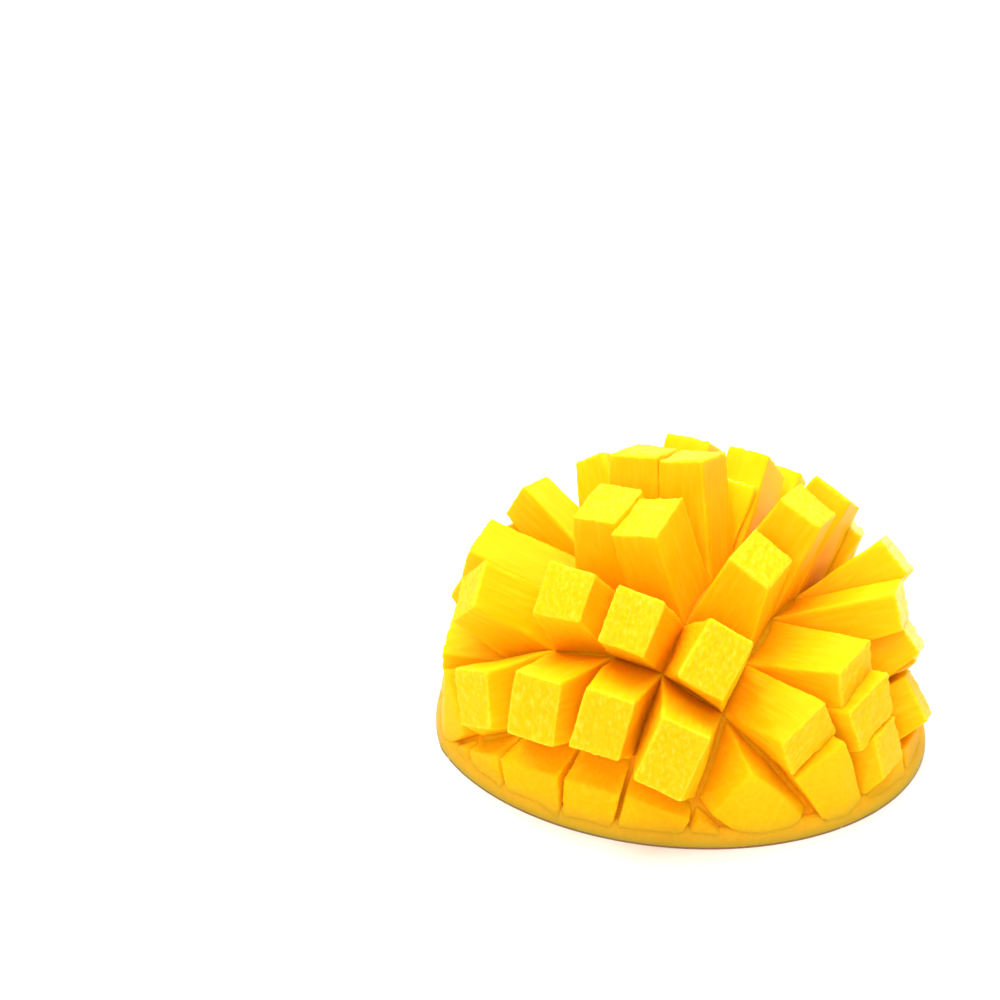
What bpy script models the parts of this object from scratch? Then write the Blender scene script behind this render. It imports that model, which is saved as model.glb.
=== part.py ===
"""Mango half, cubed and turned inside out: one solid of flesh on its skin, standing on the skin's rim.

The stone-free cheek is scored into cubes down to the skin, then pushed up from below, so the bowl of
skin becomes a hollow dome and the cubes fan out over it. The same is done here: the flat oval is sliced
by the knife cuts, each cell is carried onto the dome, and its cube is raised there and leaned outward.

Units are metres, +Z is up, and the rim stands on z = 0. X is the long axis of the oval, -Y the front.
"""

import math
import random

import bmesh
import bpy
from mathutils import Matrix, Vector

MM = 0.001

# The dome: skin and the flesh that the knife left on it
RIM_A = 54.0 * MM           # half of the rim's long axis
RIM_B = 45.5 * MM           # half of its short axis
OVAL_AT = Vector((-1.7 * MM, 0.4 * MM, 0.0))    # the rim's middle, which centres the whole half
DOME_H = 36.0 * MM          # floor of the cuts at the crown
DOME_POWER = 2.1            # how round the dome's profile is
SHELL = 3.0 * MM            # skin and uncut flesh below the cuts
BLUNT_FROM = -46.0 * MM     # left of this the oval is blunter than an ellipse
BLUNT_SHARE = 0.72
DOME_SEGMENTS = 48
DOME_RINGS = 8
OVAL_SIDES = 64             # corners of the flat oval before it is sliced

# The knife cuts, measured on the flat oval across the strips and along them
KNIFE_TURN = math.radians(-14.0)            # the knife was held at a slant to the long axis
STRIP_CUTS = tuple(v * MM for v in (-40.0, -28.5, -18.0, -4.5, 6.5, 20.0, 30.5, 40.0, 47.5))
ROW_CUTS = tuple(v * MM for v in (-34.5, -22.0, -12.0, 1.0, 13.5, 25.5, 36.0))
FIRST_STRIP = -5            # strips are numbered from the left, 0 is the middle one
FIRST_ROW = -2              # rows are numbered from the front, -2 stands on the front rim

# The cubes
CHEEK_DEPTH = 22.5 * MM     # flesh above the floor of the cuts, at the middle of the cheek
CHEEK_POWER = 3.5           # how boxy the cheek is: a high power holds its depth out to the rim
CUBE_ACROSS = 10.2 * MM     # a cube's cut end, across its strip
CUBE_ALONG = 12.9 * MM      # a cube's cut end, along its strip
KERF = 0.35 * MM            # half of a cut's width at its floor
SINK = 0.6 * MM             # how far a cube's foot runs into the shell
ROUND = 0.6 * MM            # softened edges
SHARP = math.radians(25.0)  # edges that turn more than this are softened
NEARLY_FLAT = math.radians(4.0)     # faces that turn less than this from each other become one
UNEVEN = 0.4 * MM           # how far a hand-cut corner strays
SEED = 7

# Degrees from upright: strips lean to the right, rows to the back
STRIP_LEAN = {-5: -72, -4: -58, -3: -50, -2: -5, -1: -12, 0: 26, 1: 80, 2: 78, 3: 74, 4: 78}
ROW_LEAN = {-2: -88, -1: -70, 0: -44, 1: -9, 2: 15, 3: 21, 4: 38, 5: 62}

# Cubes that stand out of line, by (strip, row): more lean across and along in degrees, more length in mm
OUT_OF_LINE = {
    (-4, -1): (6, 14, -4.0), (-3, -1): (13, 6, -3.5), (-2, -1): (6, -4, 0.0), (-1, -1): (25, -3, 0.0),
    (0, -1): (-1, -2, 1.5),
    (-4, 0): (-33, 21, -4.6), (-3, 0): (0, 13, -0.8), (-2, 0): (2, 3, -1.5), (-1, 0): (20, -5, -1.0),
    (0, 0): (2, -3, 0.0), (1, 0): (3, 7, -2.5),
    (-4, 1): (0, 0, -3.5), (-3, 1): (-25, -1, 0.7), (-2, 1): (-2, 2, -1.5), (-1, 1): (-2, -3, -2.0),
    (0, 1): (-2, 8, -4.5), (1, 1): (4, -3, -2.5), (2, 1): (-1, -11, -4.0), (3, 1): (-5, -11, -3.5),
    (-4, 2): (0, 0, -2.5), (-3, 2): (-12, -1, 1.3), (-2, 2): (-5, 1, 1.0), (-1, 2): (-2, 1, 1.0),
    (1, 2): (-12, 8, 0.8), (2, 2): (-16, 2, 0.0), (3, 2): (-15, -3, -2.0),
    (-3, 3): (17, 14, 6.3), (-2, 3): (1, 16, 4.4), (-1, 3): (14, 24, 2.0), (0, 3): (-3, 15, 2.5),
    (1, 3): (-41, 4, 2.5), (2, 3): (-18, 0, -3.0), (-1, 4): (20, 9, 8.0), (0, 4): (3, -16, 4.5),
}
IN_LINE = (0, 0, 0.0)

# Cubes whose cut end isn't the usual size, as shares of it across and along the strip
ODD_END = {
    (-3, -1): (1.0, 0.9), (-2, -1): (1.0, 1.08), (0, -1): (1.0, 1.15),
    (-4, 0): (0.7, 1.1), (-3, 0): (0.95, 0.88), (-2, 0): (1.0, 0.85), (-1, 0): (1.0, 0.92),
    (-3, 1): (0.85, 0.95),
    (-3, 2): (0.8, 0.77), (1, 2): (0.8, 0.95), (2, 2): (0.8, 0.7), (3, 2): (1.05, 0.7),
    (-3, 3): (0.8, 0.5), (-2, 3): (0.95, 0.75), (-1, 3): (0.9, 1.25), (0, 3): (0.9, 1.05),
    (1, 3): (0.9, 0.58), (2, 3): (0.8, 0.7), (-1, 4): (0.75, 0.45), (0, 4): (0.8, 0.7),
}

# Rim wedges: there the flat cut face of the cheek stands as a low wall on the rim
RIM_REACH = 0.87            # cells centred past this share of the oval are rim wedges
ON_RIM = 0.99               # corners past this share lie on the skin's edge
WALL_REACH = 0.965          # where the wall's top stands, as a share of the oval
WALL_RISE = 0.66            # its height, as a share of the height of the floor behind it
TALL_WALLS = {(-4, -1): 0.95}
WALL_PULL = 0.85 * MM       # how far the wall's ends are drawn in, which opens the cuts

# Two rim wedges were never cut from their neighbours: the neighbour, the wall's rise and its pull
UNCUT = {
    (1, -1): ((2, -1), 0.78, 2.85 * MM),
    (2, 0): ((3, 0), 0.95, 0.85 * MM),
}

# A torn slab that stands in the cut in front of one cube
SLAB_CELL = (-1, 3)
SLAB_THICK = 3.5 * MM
SLAB_SHORT = 9.0 * MM       # how far below its cube's end it is torn off
SLAB_FOOT = 0.7             # its foot, as a share of the cell


def clear_scene():
    for old in list(bpy.data.objects):
        bpy.data.objects.remove(old, do_unlink=True)


def reach(x, y):
    """Share of the way from the middle to the rim."""
    return math.hypot(x / RIM_A, y / RIM_B)


def dome_height(x, y):
    return DOME_H * (1.0 - min(reach(x, y), 1.0) ** DOME_POWER)


def cheek_depth(x, y):
    return CHEEK_DEPTH * (1.0 - min(reach(x, y), 1.0) ** CHEEK_POWER)


def blunted(point):
    """The point moved in where it lies past the blunt end of the oval."""
    beyond = min(point.x - BLUNT_FROM, 0.0)
    return Vector((point.x - beyond * (1.0 - BLUNT_SHARE), point.y, point.z))


def turned(across, along):
    """A place measured across and along the strips, on the oval's own axes."""
    return Matrix.Rotation(KNIFE_TURN, 2) @ Vector((across, along))


def centre_of(corners):
    return sum(corners, Vector((0.0, 0.0))) / len(corners)


def sliced_oval():
    """The flat oval after all the cuts, as {(strip, row): corners}."""
    bm = bmesh.new()
    bmesh.ops.create_circle(bm, cap_ends=True, segments=OVAL_SIDES, radius=1.0)
    bmesh.ops.scale(bm, vec=(RIM_A, RIM_B, 1.0), verts=bm.verts)
    across, along = turned(1.0, 0.0), turned(0.0, 1.0)
    for cuts, way in ((STRIP_CUTS, across.to_3d()), (ROW_CUTS, along.to_3d())):
        for place in cuts:
            pieces = bm.verts[:] + bm.edges[:] + bm.faces[:]
            bmesh.ops.bisect_plane(bm, geom=pieces, plane_co=way * place, plane_no=way)
    cells = {}
    for face in bm.faces:
        middle = face.calc_center_median().to_2d()
        strip = FIRST_STRIP + sum(middle.dot(across) > cut for cut in STRIP_CUTS)
        row = FIRST_ROW + sum(middle.dot(along) > cut for cut in ROW_CUTS)
        cells[strip, row] = [v.co.to_2d() for v in face.verts]
    bm.free()
    return cells


def lean_of(strip, row):
    more_across, more_along, _ = OUT_OF_LINE.get((strip, row), IN_LINE)
    across = math.radians(STRIP_LEAN[strip] + more_across)
    along = math.radians(ROW_LEAN[row] + more_along)
    return Matrix.Rotation(math.hypot(across, along), 3, turned(-along, across).to_3d())


def length_of(cell, middle):
    return cheek_depth(*middle) + OUT_OF_LINE.get(cell, IN_LINE)[2] * MM


def foot_of(corners, middle):
    """A cell's outline on the dome, drawn in by the cut's width and sunk into the shell."""
    foot = []
    for corner in corners:
        inner = corner + (middle - corner).normalized() * KERF
        foot.append(Vector((inner.x, inner.y, max(dome_height(*inner) - SINK, 0.0))))
    return foot


def end_of(cell, middle, tall, low, high, draw):
    """The corners of a cube's cut end, which runs from low to high along its strip."""
    stand = Vector((middle.x, middle.y, dome_height(*middle)))
    lean = lean_of(*cell)
    half = CUBE_ACROSS * ODD_END.get(cell, (1.0, 1.0))[0] / 2.0
    end = []
    for across, along in ((-half, low), (half, low), (half, high), (-half, high)):
        flat = turned(across, along)
        stray = Vector(draw.uniform(-UNEVEN, UNEVEN) for _ in range(3))
        end.append(stand + lean @ (Vector((flat.x, flat.y, tall)) + stray))
    return end


def cube(cell, corners, draw):
    middle = centre_of(corners)
    half = CUBE_ALONG * ODD_END.get(cell, (1.0, 1.0))[1] / 2.0
    return foot_of(corners, middle) + end_of(cell, middle, length_of(cell, middle), -half, half, draw)


def torn_slab(corners, draw):
    """A thin slab against the front of a cube, torn off below the cube's end."""
    middle = centre_of(corners)
    foot = foot_of([middle + (corner - middle) * SLAB_FOOT for corner in corners], middle)
    tall = length_of(SLAB_CELL, middle) - SLAB_SHORT
    front = -CUBE_ALONG / 2.0
    return foot + end_of(SLAB_CELL, middle, tall, front - SLAB_THICK / 2.0, front + SLAB_THICK / 2.0, draw)


def rim_wedge(corners, rise, pull):
    """A rim cell: its foot runs out to the skin's edge, and its cut face stands there as a low wall."""
    middle = centre_of(corners)
    wall = []
    for corner in corners:
        if reach(*corner) < ON_RIM:
            drawn = corner + (middle - corner).normalized() * pull
            out = drawn * (WALL_REACH / reach(*drawn))
            wall.append(Vector((out.x, out.y, dome_height(*corner) * rise)))
    return [blunted(point) for point in foot_of(corners, middle) + wall]


def block(name, points, collection):
    """The convex block that spans the points, with its sharp edges softened."""
    bm = bmesh.new()
    for point in points:
        bm.verts.new(point)
    made = bmesh.ops.convex_hull(bm, input=bm.verts)
    inside = {part for part in made["geom_interior"] if isinstance(part, bmesh.types.BMVert)}
    bmesh.ops.delete(bm, geom=list(inside), context="VERTS")
    bmesh.ops.dissolve_limit(bm, angle_limit=NEARLY_FLAT, verts=bm.verts, edges=bm.edges)
    bmesh.ops.recalc_face_normals(bm, faces=bm.faces)
    edges = [edge for edge in bm.edges if edge.calc_face_angle(0.0) > SHARP]
    bmesh.ops.bevel(
        bm, geom=edges, offset=ROUND, segments=1, affect="EDGES", profile=0.5, material=-1, clamp_overlap=True,
    )
    mesh = bpy.data.meshes.new(name)
    bm.to_mesh(mesh)
    bm.free()
    collection.objects.link(bpy.data.objects.new(name, mesh))


def cut_flesh(collection):
    """Every cube, rim wedge and torn slab as a block of its own."""
    draw = random.Random(SEED)
    cells = sliced_oval()
    swallowed = {neighbour for neighbour, _, _ in UNCUT.values()}
    for cell in sorted(set(cells) - swallowed):
        name = f"cell_{cell[0]}_{cell[1]}"
        corners = cells[cell]
        if cell in UNCUT:
            neighbour, rise, pull = UNCUT[cell]
            block(name, rim_wedge(corners + cells[neighbour], rise, pull), collection)
        elif reach(*centre_of(corners)) > RIM_REACH:
            block(name, rim_wedge(corners, TALL_WALLS.get(cell, WALL_RISE), WALL_PULL), collection)
        else:
            block(name, cube(cell, corners, draw), collection)
    block("torn_slab", torn_slab(cells[SLAB_CELL], draw), collection)


def dome_shell(name):
    """Skin and uncut flesh: a hollow dome, spun from its profile and drawn out to the oval."""
    bm = bmesh.new()
    shares = [step / DOME_RINGS for step in range(DOME_RINGS + 1)]
    outer = [Vector((RIM_A * r, 0.0, DOME_H * (1.0 - r ** DOME_POWER))) for r in reversed(shares)]
    inner_h = DOME_H - SHELL
    inner = [Vector(((RIM_A - SHELL) * r, 0.0, inner_h * (1.0 - r ** DOME_POWER))) for r in shares]
    verts = [bm.verts.new(point) for point in outer + inner]
    for first, second in zip(verts, verts[1:] + verts[:1]):
        if first.co.x + second.co.x > 0.0:
            bm.edges.new((first, second))
    bmesh.ops.spin(
        bm, geom=bm.verts[:] + bm.edges[:], axis=(0.0, 0.0, 1.0), cent=(0.0, 0.0, 0.0),
        angle=2.0 * math.pi, steps=DOME_SEGMENTS, use_merge=True,
    )
    bmesh.ops.remove_doubles(bm, verts=bm.verts, dist=0.01 * MM)
    bmesh.ops.scale(bm, vec=(1.0, RIM_B / RIM_A, 1.0), verts=bm.verts)
    for v in bm.verts:
        v.co = blunted(v.co)
    bmesh.ops.recalc_face_normals(bm, faces=bm.faces)
    mesh = bpy.data.meshes.new(name)
    bm.to_mesh(mesh)
    bm.free()
    shell = bpy.data.objects.new(name, mesh)
    bpy.context.scene.collection.objects.link(shell)
    return shell


def flesh_material():
    material = bpy.data.materials.new("mango_flesh")
    material.use_nodes = True
    shader = material.node_tree.nodes["Principled BSDF"]
    shader.inputs["Base Color"].default_value = (1.0, 0.66, 0.02, 1.0)
    shader.inputs["Roughness"].default_value = 0.45
    shader.inputs["Metallic"].default_value = 0.0
    return material


def join_to(body, collection):
    """One union of the blocks with the body, by MANIFOLD, because EXACT left its mesh open."""
    union = body.modifiers.new("union", "BOOLEAN")
    union.operand_type = "COLLECTION"
    union.collection = collection
    union.operation = "UNION"
    union.solver = "MANIFOLD"
    graph = bpy.context.evaluated_depsgraph_get()
    mesh = bpy.data.meshes.new_from_object(body.evaluated_get(graph))
    body.modifiers.clear()
    body.data = mesh
    for piece in list(collection.objects):
        bpy.data.objects.remove(piece, do_unlink=True)
    bpy.data.collections.remove(collection)


def build():
    clear_scene()
    blocks = bpy.data.collections.new("blocks")
    bpy.context.scene.collection.children.link(blocks)
    cut_flesh(blocks)
    half = dome_shell("mango_half")
    join_to(half, blocks)
    half.data.materials.clear()
    half.data.materials.append(flesh_material())
    half.data.transform(Matrix.Translation(OVAL_AT))


build()
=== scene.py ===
"""A mango half scored into cubes and turned inside out, on a pale table under soft studio light."""
import math
import random

import bmesh
import bpy
from mathutils import Matrix, Vector, noise


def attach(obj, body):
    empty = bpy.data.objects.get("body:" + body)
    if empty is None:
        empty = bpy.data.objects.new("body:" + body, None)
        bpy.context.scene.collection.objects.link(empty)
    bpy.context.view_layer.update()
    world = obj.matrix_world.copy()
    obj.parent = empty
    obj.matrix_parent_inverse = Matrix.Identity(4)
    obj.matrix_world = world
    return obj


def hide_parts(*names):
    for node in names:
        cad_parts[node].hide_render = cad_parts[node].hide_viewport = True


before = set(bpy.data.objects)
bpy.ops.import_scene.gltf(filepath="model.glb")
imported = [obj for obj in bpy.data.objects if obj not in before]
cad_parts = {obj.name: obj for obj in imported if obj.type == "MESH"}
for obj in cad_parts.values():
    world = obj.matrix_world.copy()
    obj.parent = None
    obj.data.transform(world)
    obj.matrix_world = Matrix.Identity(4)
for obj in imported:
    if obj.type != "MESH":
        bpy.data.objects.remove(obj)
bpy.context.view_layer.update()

# The cheek: one half of the fruit, sliced off beside its flat stone. It lies on its skin while a knife
# scores it into strips and then into rows, down to the skin but not through it. Pushed up from below,
# the bowl of skin becomes a dome, and every place on the flat oval has its place on that dome.
MM = 0.001
RIM_LONG = 54.0 * MM
RIM_SHORT = 45.5 * MM
OVAL_AT = Vector((-1.7 * MM, 0.4 * MM, 0.0))
BED_HEIGHT = 36.0 * MM
BED_POWER = 2.1
FLESH_DEPTH = 22.5 * MM
FLESH_POWER = 3.5
BLUNT_FROM = -46.0 * MM
BLUNT_SHARE = 0.72
OVAL_SIDES = 64
KNIFE_TURN = math.radians(-14.0)
STRIP_CUTS = [v * MM for v in (-40.0, -28.5, -18.0, -4.5, 6.5, 20.0, 30.5, 40.0, 47.5)]
ROW_CUTS = [v * MM for v in (-34.5, -22.0, -12.0, 1.0, 13.5, 25.5, 36.0)]
FIRST_STRIP, FIRST_ROW = -5, -2


def reach(x, y):
    """Share of the way from the middle of the oval to its rim."""
    return math.hypot(x / RIM_LONG, y / RIM_SHORT)


def bed_height(x, y):
    return BED_HEIGHT * (1.0 - min(reach(x, y), 1.0) ** BED_POWER)


def flesh_depth(x, y):
    return FLESH_DEPTH * (1.0 - min(reach(x, y), 1.0) ** FLESH_POWER)


def blunted(point):
    """The left end of the fruit is blunter than an ellipse, so what lies past it is drawn in."""
    beyond = min(point.x - BLUNT_FROM, 0.0)
    return Vector((point.x - beyond * (1.0 - BLUNT_SHARE), point.y, point.z))


def by_knife(across, along):
    """A place given across and along the strips, on the oval's own axes."""
    return Matrix.Rotation(KNIFE_TURN, 2) @ Vector((across, along))


def middle_of(corners):
    return sum(corners, Vector((0.0, 0.0))) / len(corners)


def scored_cheek():
    """The oval after every cut, as {(strip, row): corners of the cell}."""
    bm = bmesh.new()
    bmesh.ops.create_circle(bm, cap_ends=True, segments=OVAL_SIDES, radius=1.0)
    bmesh.ops.scale(bm, vec=(RIM_LONG, RIM_SHORT, 1.0), verts=bm.verts)
    across, along = by_knife(1.0, 0.0), by_knife(0.0, 1.0)
    for cuts, way in ((STRIP_CUTS, across.to_3d()), (ROW_CUTS, along.to_3d())):
        for place in cuts:
            parts = bm.verts[:] + bm.edges[:] + bm.faces[:]
            bmesh.ops.bisect_plane(bm, geom=parts, plane_co=way * place, plane_no=way)
    found = {}
    for face in bm.faces:
        middle = face.calc_center_median().to_2d()
        strip = FIRST_STRIP + sum(middle.dot(across) > cut for cut in STRIP_CUTS)
        row = FIRST_ROW + sum(middle.dot(along) > cut for cut in ROW_CUTS)
        found[strip, row] = [v.co.to_2d() for v in face.verts]
    bm.free()
    return found


cells = scored_cheek()

# The cubes: ripe flesh, cut square by the knife and splayed by the dome, so that each one leans its own
# way. The outer end of a cube is where the stone was, cut a little pebbly, and its sides are smooth.
CUBE_ACROSS = 10.2 * MM
CUBE_ALONG = 12.9 * MM
FOOT_SPREAD = 0.3 * MM
SLIT = 0.5 * MM
SINK = 0.7 * MM
FOOT_LOW = 0.9 * MM
UNEVEN = 0.4 * MM
SEED = 7
STRIP_LEAN = {-5: -72, -4: -58, -3: -50, -2: -5, -1: -12, 0: 26, 1: 80, 2: 78, 3: 74, 4: 78}
ROW_LEAN = {-2: -88, -1: -70, 0: -44, 1: -9, 2: 15, 3: 21, 4: 38, 5: 62}
OUT_OF_LINE = {
    (-4, -1): (6, 14, -4.0), (-3, -1): (19, -2, -2.6), (-2, -1): (6, -4, 0.0), (-1, -1): (25, -3, 0.0),
    (0, -1): (-1, -2, 1.5),
    (-4, 0): (-33, 21, -4.6), (-3, 0): (0, 13, -0.8), (-2, 0): (2, 3, -1.5), (-1, 0): (20, -5, -1.0),
    (0, 0): (2, -3, 0.0), (1, 0): (3, 7, -2.5),
    (-4, 1): (0, 0, -3.5), (-3, 1): (-25, -1, 0.7), (-2, 1): (-2, 2, -1.5), (-1, 1): (-2, -3, -2.0),
    (0, 1): (-2, 8, -4.5), (1, 1): (4, -3, -2.5), (2, 1): (-1, -9, -3.8), (3, 1): (3, 8, -3.2),
    (-4, 2): (0, 0, -2.5), (-3, 2): (-12, -1, 1.3), (-2, 2): (-5, 1, 1.0), (-1, 2): (-2, 1, 1.0),
    (1, 2): (-12, 8, 0.8), (2, 2): (-33, 13, -1.6), (3, 2): (-20, 12, -2.6),
    (-3, 3): (17, 14, 6.3), (-2, 3): (1, 16, 4.4), (-1, 3): (14, 24, 2.0), (0, 3): (-3, 15, 2.5),
    (1, 3): (-41, 4, 2.5), (2, 3): (-18, 0, -3.0), (-1, 4): (20, 9, 8.0), (0, 4): (3, -16, 4.5),
}
IN_LINE = (0, 0, 0.0)
ODD_END = {
    (-3, -1): (1.0, 0.9), (-2, -1): (1.0, 1.08), (0, -1): (1.0, 1.15),
    (-4, 0): (0.7, 1.1), (-3, 0): (0.95, 0.88), (-2, 0): (1.0, 0.85), (-1, 0): (1.0, 0.92),
    (-3, 1): (0.85, 0.95),
    (-3, 2): (0.8, 0.77), (1, 2): (0.8, 0.95), (2, 2): (1.15, 0.7), (3, 2): (1.05, 0.7),
    (3, 1): (1.0, 0.74),
    (-3, 3): (0.8, 0.5), (-2, 3): (0.95, 0.75), (-1, 3): (0.9, 1.25), (0, 3): (0.9, 1.05),
    (1, 3): (0.9, 0.58), (2, 3): (0.8, 0.7), (-1, 4): (0.75, 0.45), (0, 4): (0.8, 0.7),
}
RIM_REACH = 0.87
ON_RIM = 0.99
FOOT_REACH = 0.994
WALL_REACH = 0.965
WALL_RISE = 0.66
TALL_WALLS = {(-4, -1): 0.95, (4, 1): 1.15, (4, 2): 1.0}
WALL_PULL = 0.85 * MM
UNCUT = {(1, -1): ((2, -1), 0.78, 2.85 * MM), (2, 0): ((3, 0), 0.95, 0.85 * MM)}
NEAR_SKIN = 6.0 * MM
SLAB_CELL = (-1, 3)
SLAB_THICK = 3.5 * MM
SLAB_SHORT = 8.2 * MM
SLAB_FOOT = 0.7
SLAB_AHEAD = 2.5 * MM
RAGGED = {(0, 4), (1, 2), (1, 3), (2, 2), (2, 3)}
GRAIN_ACROSS, GRAIN_ALONG = 31.0 * MM, 37.0 * MM
WEDGE_DEEP = 8.0 * MM
PALE = {(-1, 3): 0.6, (0, 4): 0.5, (-1, 4): 0.5, (-2, 3): 0.5, (1, 3): 0.4, (1, 2): 0.3}
GRAIN_VOXEL = 0.39 * MM
SMOOTHING = 3
END_FROM, FACING_FROM, FACING_OVER = 0.75, 0.55, 0.35
SWELL_HIGH, SWELL_WIDE = 0.40 * MM, 9.0 * MM
FIBRE_HIGH, FIBRE_WIDE, FIBRE_LONG = 0.06 * MM, 0.9 * MM, 6.0 * MM
PEBBLE_HIGH, PEBBLE_SIZE = 0.27 * MM, (1.0 * MM, 2.2 * MM, 1.6 * MM)
PEBBLE_STRAY, PEBBLE_BEND = 2.5 * MM, 0.8
NICK_HIGH, NICK_WIDE = 0.42 * MM, 1.1 * MM
SHRED_HIGH, SHRED_SIZE = 0.45 * MM, (0.9 * MM, 3.5 * MM, 2.0 * MM)
DEEP_ORANGE, RIPE_ORANGE, END_ORANGE = (1.0, 0.36, 0.001), (1.0, 0.48, 0.001), (1.0, 0.54, 0.003)
LIGHTER_FLESH = (1.0, 0.68, 0.003)
FIBRE_YELLOW = (1.0, 0.72, 0.03)
PEBBLE_YELLOW, PIT_ORANGE = (1.0, 0.74, 0.09), (1.0, 0.44, 0.002)
PAINTED_EDGE_HIGHLIGHT = (1.0, 0.80, 0.06)
SHRED_PALE_AND_HIGHLIGHT = (1.0, 0.82, 0.28)
OLIVE_AND_SHADE_BY_SKIN = (0.54, 0.35, 0.030)
SCORED_ORANGE = (0.95, 0.30, 0.003)


def lean_of(strip, row):
    more_across, more_along, _ = OUT_OF_LINE.get((strip, row), IN_LINE)
    across = math.radians(STRIP_LEAN[strip] + more_across)
    along = math.radians(ROW_LEAN[row] + more_along)
    return Matrix.Rotation(math.hypot(across, along), 3, by_knife(-along, across).to_3d())


def length_of(cell, middle):
    return flesh_depth(*middle) + OUT_OF_LINE.get(cell, IN_LINE)[2] * MM


def stand_of(middle):
    """The place on the bed that a cell stands on."""
    return Vector((middle.x, middle.y, bed_height(*middle)))


def foot_of(corners, middle, spread):
    """A cell's outline, sunk into the bed and spread a little, so that neighbours meet in a crease."""
    foot = []
    for corner in corners:
        outer = corner + (corner - middle).normalized() * spread
        if reach(*outer) > FOOT_REACH:
            outer *= FOOT_REACH / reach(*outer)
        foot.append(Vector((outer.x, outer.y, max(bed_height(*outer) - SINK, FOOT_LOW))))
    return foot


def end_of(cell, middle, tall, low, high, draw):
    """The corners of a cube's cut end, which runs from low to high along its strip."""
    stand, lean = stand_of(middle), lean_of(*cell)
    half = CUBE_ACROSS * ODD_END.get(cell, (1.0, 1.0))[0] / 2.0
    end = []
    for across, along in ((-half, low), (half, low), (half, high), (-half, high)):
        flat = by_knife(across, along)
        stray = Vector(draw.uniform(-UNEVEN, UNEVEN) for _ in range(3))
        end.append(stand + lean @ (Vector((flat.x, flat.y, tall)) + stray))
    return end


def cube_points(cell, corners, draw):
    middle = middle_of(corners)
    half = CUBE_ALONG * ODD_END.get(cell, (1.0, 1.0))[1] / 2.0
    foot = foot_of(corners, middle, FOOT_SPREAD)
    return foot + end_of(cell, middle, length_of(cell, middle), -half, half, draw)


def slab_points(corners, tall, draw):
    """A thin slab in front of a cube, torn off below the cube's end."""
    middle = middle_of(corners)
    ahead = by_knife(0.0, -SLAB_AHEAD)
    foot = foot_of([middle + ahead + (corner - middle) * SLAB_FOOT for corner in corners], middle, 0.0)
    front = -CUBE_ALONG * ODD_END[SLAB_CELL][1] / 2.0
    half = SLAB_THICK / 2.0
    return foot + end_of(SLAB_CELL, middle, tall, front - half, front + half, draw)


def wedge_points(corners, rise, pull):
    """A rim cell: its foot runs out to the skin, and the cheek's flat cut face is a low wall there."""
    middle = middle_of(corners)
    wall = []
    for corner in corners:
        if reach(*corner) < ON_RIM:
            drawn = corner + (middle - corner).normalized() * pull
            out = drawn * (WALL_REACH / reach(*drawn))
            wall.append(Vector((out.x, out.y, bed_height(*corner) * rise)))
    return [blunted(point) for point in foot_of(corners, middle, -SLIT) + wall]


def carved(points):
    """A closed block over the points, its surface evened out into small squares."""
    bm = bmesh.new()
    for point in points:
        bm.verts.new(point)
    made = bmesh.ops.convex_hull(bm, input=bm.verts)
    inside = {part for part in made["geom_interior"] if isinstance(part, bmesh.types.BMVert)}
    bmesh.ops.delete(bm, geom=list(inside), context="VERTS")
    bmesh.ops.recalc_face_normals(bm, faces=bm.faces)
    mesh = bpy.data.meshes.new("block")
    bm.to_mesh(mesh)
    bm.free()
    block = bpy.data.objects.new("block", mesh)
    bpy.context.scene.collection.objects.link(block)
    grid = block.modifiers.new("grid", "REMESH")
    grid.mode = "VOXEL"
    grid.voxel_size = GRAIN_VOXEL
    graph = bpy.context.evaluated_depsgraph_get()
    even = bpy.data.meshes.new_from_object(block.evaluated_get(graph))
    bpy.data.objects.remove(block, do_unlink=True)
    bpy.data.meshes.remove(mesh)
    bm = bmesh.new()
    bm.from_mesh(even)
    bpy.data.meshes.remove(even)
    for _ in range(SMOOTHING):
        bmesh.ops.smooth_vert(
            bm, verts=bm.verts, factor=0.5, use_axis_x=True, use_axis_y=True, use_axis_z=True,
        )
    return bm


def in_steps(place, size):
    """A place counted in steps of the given size along each of the cube's own axes."""
    return Vector(share / step for share, step in zip(place, size))


def relief(place, end, edge, torn):
    """How far the flesh stands out at a place measured along the cube's own grain."""
    swell = SWELL_HIGH * noise.noise(place / SWELL_WIDE)
    fibre = FIBRE_HIGH * noise.noise(in_steps(place, (FIBRE_WIDE, FIBRE_WIDE, FIBRE_LONG)))
    dragged = in_steps(place, PEBBLE_SIZE) + PEBBLE_BEND * noise.noise_vector(place / PEBBLE_STRAY)
    pebbles = PEBBLE_HIGH * noise.noise(dragged)
    nicks = NICK_HIGH * noise.noise(place / NICK_WIDE)
    shreds = SHRED_HIGH * noise.noise(in_steps(place, SHRED_SIZE))
    return swell + fibre * (1.0 - end) + pebbles * end + nicks * edge + shreds * torn


def skin_tint_and_shade(z):
    """How much olive tint and painted shade the flesh just above the skin takes, fading upwards."""
    return max(0.0, 1.0 - z / NEAR_SKIN) ** 1.3


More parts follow.
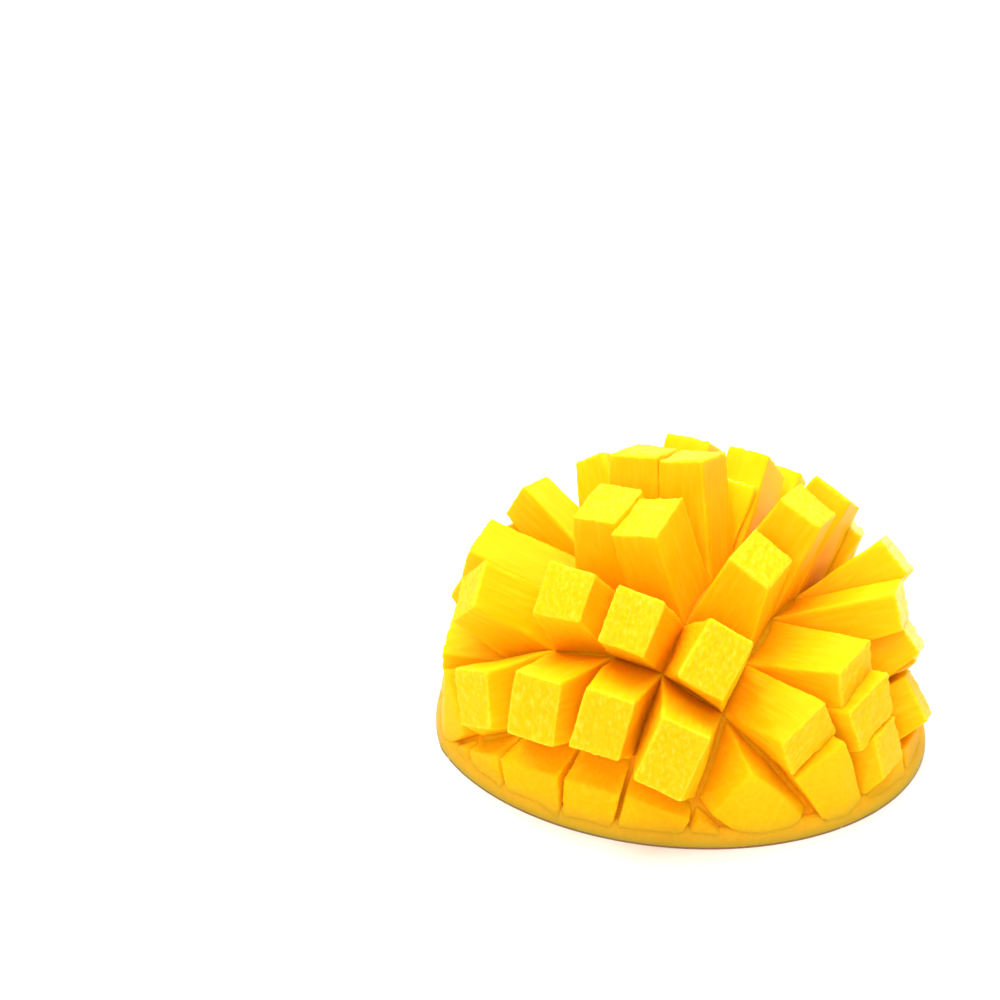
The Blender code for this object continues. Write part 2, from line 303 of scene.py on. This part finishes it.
def add_block(strip, points, stand, lean, tall, shift, torn=0.0, pale=0.0, at_rim=0.0):
    """Carve one block, roughen it, and join it to its strip with what its material reads."""
    layer = layers[strip]
    bm = carved(points)
    bm.normal_update()
    inverse = lean.transposed()
    axis = lean @ Vector((0.0, 0.0, 1.0))
    new = {}
    for v in bm.verts:
        local = inverse @ (v.co - stand)
        out = max(0.0, min(1.0, local.z / tall))
        facing = max(0.0, min(1.0, (v.normal.dot(axis) - FACING_FROM) / FACING_OVER))
        end = facing * (1.0 - at_rim) if out > END_FROM else 0.0
        edge = 4.0 * end * (1.0 - end)
        place = local + shift
        copy = strips[strip].verts.new(v.co + v.normal * relief(place, end, edge, torn * end))
        copy[layer["out"]] = out
        copy[layer["cut_end"]] = end
        copy[layer["edge"]] = edge
        copy[layer["shred"]] = torn * max(end, 0.6 * edge)
        copy[layer["grain"]] = place
        copy[layer["pale"]] = pale
        copy[layer["near_skin"]] = skin_tint_and_shade(v.co.z) * at_rim
        new[v] = copy
    for face in bm.faces:
        made = strips[strip].faces.new([new[v] for v in face.verts])
        made.smooth = True
    bm.free()


def flesh_layers(bm):
    names = ("out", "cut_end", "edge", "shred", "pale", "near_skin", "scored")
    layers = {name: bm.verts.layers.float.new(name) for name in names}
    layers["grain"] = bm.verts.layers.float_vector.new("grain")
    return layers


def flesh_material():
    """Deep flesh is orange and the cut ends are yellow, with fibres along each cube and pebbly ends; the
    ends' edges carry a painted highlight, the shreds partly one, and the flesh by the skin painted
    shade.
    """
    material = bpy.data.materials.new("mango_flesh")
    material.use_nodes = True
    tree = material.node_tree
    shader = tree.nodes["Principled BSDF"]

    def node(kind, **values):
        made = tree.nodes.new(kind)
        for name, value in values.items():
            setattr(made, name, value)
        return made

    def link(source, target):
        tree.links.new(source, target)

    def attribute(name):
        return node("ShaderNodeAttribute", attribute_type="GEOMETRY", attribute_name=name).outputs

    def speckle(scale, detail, vector):
        made = node("ShaderNodeTexNoise")
        made.inputs["Scale"].default_value = scale
        made.inputs["Detail"].default_value = detail
        link(vector, made.inputs["Vector"])
        return made.outputs["Fac"]

    def ramp(source, *stops):
        made = node("ShaderNodeValToRGB")
        marks = made.color_ramp.elements
        for number, (place, colour) in enumerate(stops):
            stop = marks[number] if number < len(marks) else marks.new(place)
            stop.position = place
            stop.color = (*colour, 1.0)
        link(source, made.inputs["Fac"])
        return made.outputs["Color"]

    def mixed(share, first, second, blend="MIX"):
        made = node("ShaderNodeMix", data_type="RGBA", blend_type=blend)
        link(share, made.inputs["Factor"])
        link(first, made.inputs["A"])
        if isinstance(second, tuple):
            made.inputs["B"].default_value = (*second, 1.0)
        else:
            link(second, made.inputs["B"])
        return made.outputs["Result"]

    def reckoned(operation, first, second, third=0.0):
        made = node("ShaderNodeMath", operation=operation, use_clamp=True)
        for socket, value in zip(made.inputs, (first, second, third)):
            if isinstance(value, float):
                socket.default_value = value
            else:
                link(value, socket)
        return made.outputs["Value"]

    grain = attribute("grain")["Vector"]
    stretch = node("ShaderNodeMapping", vector_type="POINT")
    stretch.inputs["Scale"].default_value = (1.0, 1.0, 0.14)
    link(grain, stretch.inputs["Vector"])
    cloud = speckle(110.0, 3.0, grain)
    fibres = speckle(1100.0, 4.0, stretch.outputs["Vector"])
    drag = node("ShaderNodeMapping", vector_type="POINT")
    drag.inputs["Scale"].default_value = (1.0, 0.45, 0.7)
    link(grain, drag.inputs["Vector"])
    pebbles = speckle(1500.0, 5.0, drag.outputs["Vector"])

    outwards = reckoned("MULTIPLY_ADD", attribute("out")["Fac"], 0.86, -0.1)
    depth = reckoned("MULTIPLY_ADD", cloud, 0.36, outwards)
    colour = ramp(depth, (0.0, DEEP_ORANGE), (1.0, END_ORANGE), (0.35, RIPE_ORANGE))
    lighter = reckoned("MULTIPLY", attribute("pale")["Fac"], attribute("out")["Fac"])
    colour = mixed(lighter, colour, LIGHTER_FLESH)
    streaks = ramp(fibres, (0.45, (0.0, 0.0, 0.0)), (0.72, (0.25, 0.25, 0.25)))
    colour = mixed(streaks, colour, FIBRE_YELLOW)
    specks = ramp(pebbles, (0.52, (0.0, 0.0, 0.0)), (0.72, (0.5, 0.5, 0.5)))
    colour = mixed(reckoned("MULTIPLY", attribute("cut_end")["Fac"], specks), colour, PEBBLE_YELLOW)
    pits = ramp(pebbles, (0.30, (0.3, 0.3, 0.3)), (0.46, (0.0, 0.0, 0.0)))
    colour = mixed(reckoned("MULTIPLY", attribute("cut_end")["Fac"], pits), colour, PIT_ORANGE)
    # Painted highlight: the edges round each cut end are lightened towards yellow.
    colour = mixed(reckoned("MULTIPLY", attribute("edge")["Fac"], 0.4), colour, PAINTED_EDGE_HIGHLIGHT)
    # Torn shreds turn paler: partly their own colour, partly a painted highlight on the fibres.
    colour = mixed(reckoned("MULTIPLY", attribute("shred")["Fac"], fibres), colour, SHRED_PALE_AND_HIGHLIGHT)
    # Low by the skin the flesh turns olive and darker: partly its own tint, partly painted shade near
    # the table.
    colour = mixed(attribute("near_skin")["Fac"], colour, OLIVE_AND_SHADE_BY_SKIN)
    colour = mixed(attribute("scored")["Fac"], colour, SCORED_ORANGE)
    link(colour, shader.inputs["Base Color"])

    rough = node("ShaderNodeMix", data_type="FLOAT")
    link(attribute("cut_end")["Fac"], rough.inputs["Factor"])
    link(fibres, rough.inputs["A"])
    link(pebbles, rough.inputs["B"])
    bump = node("ShaderNodeBump")
    bump.inputs["Strength"].default_value = 0.6
    bump.inputs["Distance"].default_value = 0.25 * MM
    link(rough.outputs["Result"], bump.inputs["Height"])
    link(bump.outputs["Normal"], shader.inputs["Normal"])

    wet = node("ShaderNodeMapRange")
    wet.inputs["To Min"].default_value = 0.32
    wet.inputs["To Max"].default_value = 0.50
    link(cloud, wet.inputs["Value"])
    link(wet.outputs["Result"], shader.inputs["Roughness"])
    shader.inputs["IOR"].default_value = 1.4
    shader.inputs["Specular IOR Level"].default_value = 0.05
    shader.inputs["Subsurface Weight"].default_value = 0.6
    shader.inputs["Subsurface Radius"].default_value = (1.0, 0.7, 0.25)
    shader.inputs["Subsurface Scale"].default_value = 3.5 * MM
    return material


def finish_piece(bm, name, material):
    """Set a piece down in its place and say what it is to the frame."""
    bmesh.ops.translate(bm, vec=OVAL_AT, verts=bm.verts)
    mesh = bpy.data.meshes.new(name)
    bm.to_mesh(mesh)
    bm.free()
    mesh.materials.append(material)
    piece = bpy.data.objects.new(name, mesh)
    bpy.context.scene.collection.objects.link(piece)
    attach(piece, "root")
    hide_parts("mango_half")


flesh = flesh_material()
draw = random.Random(SEED)
# The vector noise behind the pebbles starts from the clock unless it is given a seed.
noise.seed_set(SEED)
swallowed = {neighbour for neighbour, _, _ in UNCUT.values()}
strips = {strip: bmesh.new() for strip in sorted({strip for strip, _ in cells})}
layers = {strip: flesh_layers(bm) for strip, bm in strips.items()}
for cell in sorted(set(cells) - swallowed):
    strip, row = cell
    corners = cells[cell]
    middle = middle_of(corners)
    shift = Vector((strip * GRAIN_ACROSS, row * GRAIN_ALONG, 0.0))
    if cell in UNCUT or reach(*middle) > RIM_REACH:
        neighbour, rise, pull = UNCUT.get(cell, (None, TALL_WALLS.get(cell, WALL_RISE), WALL_PULL))
        points = wedge_points(corners + cells.get(neighbour, []), rise, pull)
        outward = Vector((middle.x, middle.y, 0.4 * RIM_LONG))
        lean = Vector((0.0, 0.0, 1.0)).rotation_difference(outward).to_matrix()
        add_block(strip, points, stand_of(middle), lean, WEDGE_DEEP, shift, at_rim=1.0)
    else:
        points = cube_points(cell, corners, draw)
        torn, pale = float(cell in RAGGED), PALE.get(cell, 0.0)
        tall = length_of(cell, middle)
        add_block(strip, points, stand_of(middle), lean_of(*cell), tall, shift, torn, pale)

corners = cells[SLAB_CELL]
middle = middle_of(corners)
tall = length_of(SLAB_CELL, middle) - SLAB_SHORT
points = slab_points(corners, tall, draw)
lean, pale = lean_of(*SLAB_CELL), PALE[SLAB_CELL]
add_block(SLAB_CELL[0], points, stand_of(middle), lean, tall, Vector(), 1.0, pale)

for strip, bm in strips.items():
    finish_piece(bm, f"cube_strip_{strip - FIRST_STRIP + 1}", flesh)

# The bed: the last two millimetres of flesh that the knife left on the skin. It is one sheet under all
# the cubes, and shows only at the floor of the cuts, where the knife has scored it, and as a rolled rim.
SKIN_THICK = 0.9 * MM
SKIN_EDGE = 0.45 * MM
SHELL = 3.0 * MM
TURNS = 240
RINGS = 110
SCORE_WIDE = 0.9 * MM
ROLL_FROM = 0.95
ROLL_HEIGHT = 4.0 * MM


def spun(profile):
    """A closed profile spun about the middle and drawn out to the oval."""
    bm = bmesh.new()
    verts = [bm.verts.new(point) for point in profile]
    for first, second in zip(verts, verts[1:] + verts[:1]):
        if first.co.x + second.co.x > 0.0:
            bm.edges.new((first, second))
    bmesh.ops.spin(
        bm, geom=bm.verts[:] + bm.edges[:], axis=(0.0, 0.0, 1.0), cent=(0.0, 0.0, 0.0),
        angle=2.0 * math.pi, steps=TURNS, use_merge=True,
    )
    bmesh.ops.remove_doubles(bm, verts=bm.verts, dist=0.005 * MM)
    bmesh.ops.scale(bm, vec=(1.0, RIM_SHORT / RIM_LONG, 1.0), verts=bm.verts)
    bmesh.ops.recalc_face_normals(bm, faces=bm.faces)
    for face in bm.faces:
        face.smooth = True
    return bm


def dome_line(radius, height, lowest):
    """Half of a section through a dome, from its top to its edge."""
    shares = [math.sin(math.radians(90.0) * step / RINGS) for step in range(RINGS + 1)]
    return [Vector((radius * r, 0.0, max(height * (1.0 - r ** BED_POWER), lowest))) for r in shares]


skin_top = (RIM_LONG - SHELL + SKIN_THICK, BED_HEIGHT - SHELL + SKIN_THICK)
above = dome_line(RIM_LONG, BED_HEIGHT, 1.1 * SKIN_EDGE)
for point in above:
    rolled = (point.x / RIM_LONG - ROLL_FROM) / (1.0 - ROLL_FROM)
    if 0.0 < rolled < 1.0:
        point.z = max(point.z, ROLL_HEIGHT * math.sqrt(1.0 - rolled * rolled))
below = dome_line(*skin_top, 0.8 * SKIN_EDGE)
bed = spun(above[::-1] + below)
bed_layers = flesh_layers(bed)
for v in bed.verts:
    flat = Vector((v.co.x, v.co.y))
    across, along = flat.dot(by_knife(1.0, 0.0)), flat.dot(by_knife(0.0, 1.0))
    to_cuts = [abs(across - cut) for cut in STRIP_CUTS] + [abs(along - cut) for cut in ROW_CUTS]
    scored = max(0.0, 1.0 - min(to_cuts) / SCORE_WIDE)
    v[bed_layers["scored"]] = scored if reach(*flat) < ROLL_FROM else 0.0
    v[bed_layers["grain"]] = v.co
    # The bed low by the skin gets the same olive tint and painted shade.
    v[bed_layers["near_skin"]] = skin_tint_and_shade(v.co.z)
    v.co = blunted(v.co)
finish_piece(bed, "flesh_bed", flesh)

# The skin: a leathery sheet, green to yellow with a red blush and pale pores, a millimetre thick. Turned
# inside out, its outer face is the hollow underside, and its edge is the thin dark line on the table.
LEAF_GREEN, GOLDEN, RED_BLUSH = (0.10, 0.14, 0.012), (0.32, 0.15, 0.014), (0.38, 0.045, 0.012)
PALE_PORE = (0.60, 0.42, 0.10)


def skin_material():
    material = bpy.data.materials.new("mango_skin")
    material.use_nodes = True
    tree = material.node_tree
    shader = tree.nodes["Principled BSDF"]
    place = tree.nodes.new("ShaderNodeTexCoord")
    blush = tree.nodes.new("ShaderNodeTexNoise")
    blush.inputs["Scale"].default_value = 16.0
    blush.inputs["Detail"].default_value = 4.0
    tree.links.new(place.outputs["Object"], blush.inputs["Vector"])
    colours = tree.nodes.new("ShaderNodeValToRGB")
    ramp = colours.color_ramp
    ramp.elements[0].position = 0.32
    ramp.elements[0].color = (*LEAF_GREEN, 1.0)
    ramp.elements[1].position = 0.72
    ramp.elements[1].color = (*RED_BLUSH, 1.0)
    ramp.elements.new(0.52).color = (*GOLDEN, 1.0)
    tree.links.new(blush.outputs["Fac"], colours.inputs["Fac"])
    pores = tree.nodes.new("ShaderNodeTexVoronoi")
    pores.inputs["Scale"].default_value = 330.0
    tree.links.new(place.outputs["Object"], pores.inputs["Vector"])
    spot = tree.nodes.new("ShaderNodeValToRGB")
    spot.color_ramp.elements[0].position = 0.10
    spot.color_ramp.elements[0].color = (1.0, 1.0, 1.0, 1.0)
    spot.color_ramp.elements[1].position = 0.20
    spot.color_ramp.elements[1].color = (0.0, 0.0, 0.0, 1.0)
    tree.links.new(pores.outputs["Distance"], spot.inputs["Fac"])
    mix = tree.nodes.new("ShaderNodeMix")
    mix.data_type = "RGBA"
    tree.links.new(spot.outputs["Color"], mix.inputs["Factor"])
    tree.links.new(colours.outputs["Color"], mix.inputs["A"])
    mix.inputs["B"].default_value = (*PALE_PORE, 1.0)
    tree.links.new(mix.outputs["Result"], shader.inputs["Base Color"])
    shader.inputs["Roughness"].default_value = 0.38
    shader.inputs["Subsurface Weight"].default_value = 0.1
    shader.inputs["Subsurface Scale"].default_value = 1.5 * MM
    return material


skin_under = dome_line(RIM_LONG - SHELL, BED_HEIGHT - SHELL, 0.0)
skin_rim = [Vector((RIM_LONG, 0.0, 0.0)), Vector((RIM_LONG - 0.1 * MM, 0.0, SKIN_EDGE))]
skin_over = dome_line(*skin_top, SKIN_EDGE)
skin = spun(skin_under + skin_rim + skin_over[::-1])
for v in skin.verts:
    v.co = blunted(v.co)
finish_piece(skin, "skin", skin_material())

# The table is plain and white, and the light is soft and comes from all round and above.
floor_bm = bmesh.new()
bmesh.ops.create_grid(floor_bm, x_segments=1, y_segments=1, size=4.0)
floor_mesh = bpy.data.meshes.new("table")
floor_bm.to_mesh(floor_mesh)
floor_bm.free()
floor = bpy.data.objects.new("table", floor_mesh)
bpy.context.scene.collection.objects.link(floor)
white = bpy.data.materials.new("white_table")
white.use_nodes = True
white.node_tree.nodes["Principled BSDF"].inputs["Base Color"].default_value = (0.92, 0.92, 0.92, 1.0)
white.node_tree.nodes["Principled BSDF"].inputs["Roughness"].default_value = 0.6
floor_mesh.materials.append(white)

bpy.context.scene.view_settings.view_transform = "Standard"
world = bpy.data.worlds.new("studio")
bpy.context.scene.world = world
world.use_nodes = True
world.node_tree.nodes["Background"].inputs["Color"].default_value = (1.0, 1.0, 1.0, 1.0)
world.node_tree.nodes["Background"].inputs["Strength"].default_value = 0.45


def softbox(name, place, size, power):
    data = bpy.data.lights.new(name, "AREA")
    data.shape = "SQUARE"
    data.size = size
    data.energy = power
    lamp = bpy.data.objects.new(name, data)
    bpy.context.scene.collection.objects.link(lamp)
    lamp.location = place
    lamp.rotation_euler = (-Vector(place)).to_track_quat("-Z", "Y").to_euler()


softbox("key", (-0.10, 0.10, 0.80), 0.9, 9.6)
softbox("back", (-0.10, 0.65, 0.45), 0.8, 3.0)
softbox("side", (0.80, 0.10, 0.35), 0.8, 0.6)
softbox("fill", (0.00, -0.75, 0.52), 0.6, 3.2)

# The camera stands where the photograph was taken from: a long lens, low enough to see the front rim.
TURN, RISE = math.radians(14.1), math.radians(30.66)
AWAY, RIGHT_BY, UP_BY = 564.7 * MM, -37.9 * MM, 47.1 * MM
back = Vector((math.sin(TURN) * math.cos(RISE), -math.cos(TURN) * math.cos(RISE), math.sin(RISE)))
right = Vector((math.cos(TURN), math.sin(TURN), 0.0))
up = back.cross(right).normalized()
lens = bpy.data.cameras.new("camera")
lens.sensor_width = 36.0
lens.lens = 93.6
lens.clip_start = 0.01
camera = bpy.data.objects.new("camera", lens)
bpy.context.scene.collection.objects.link(camera)
place = Matrix((right, up, back)).transposed().to_4x4()
place.translation = back * AWAY + right * RIGHT_BY + up * UP_BY + OVAL_AT
camera.matrix_world = place
bpy.context.scene.camera = camera
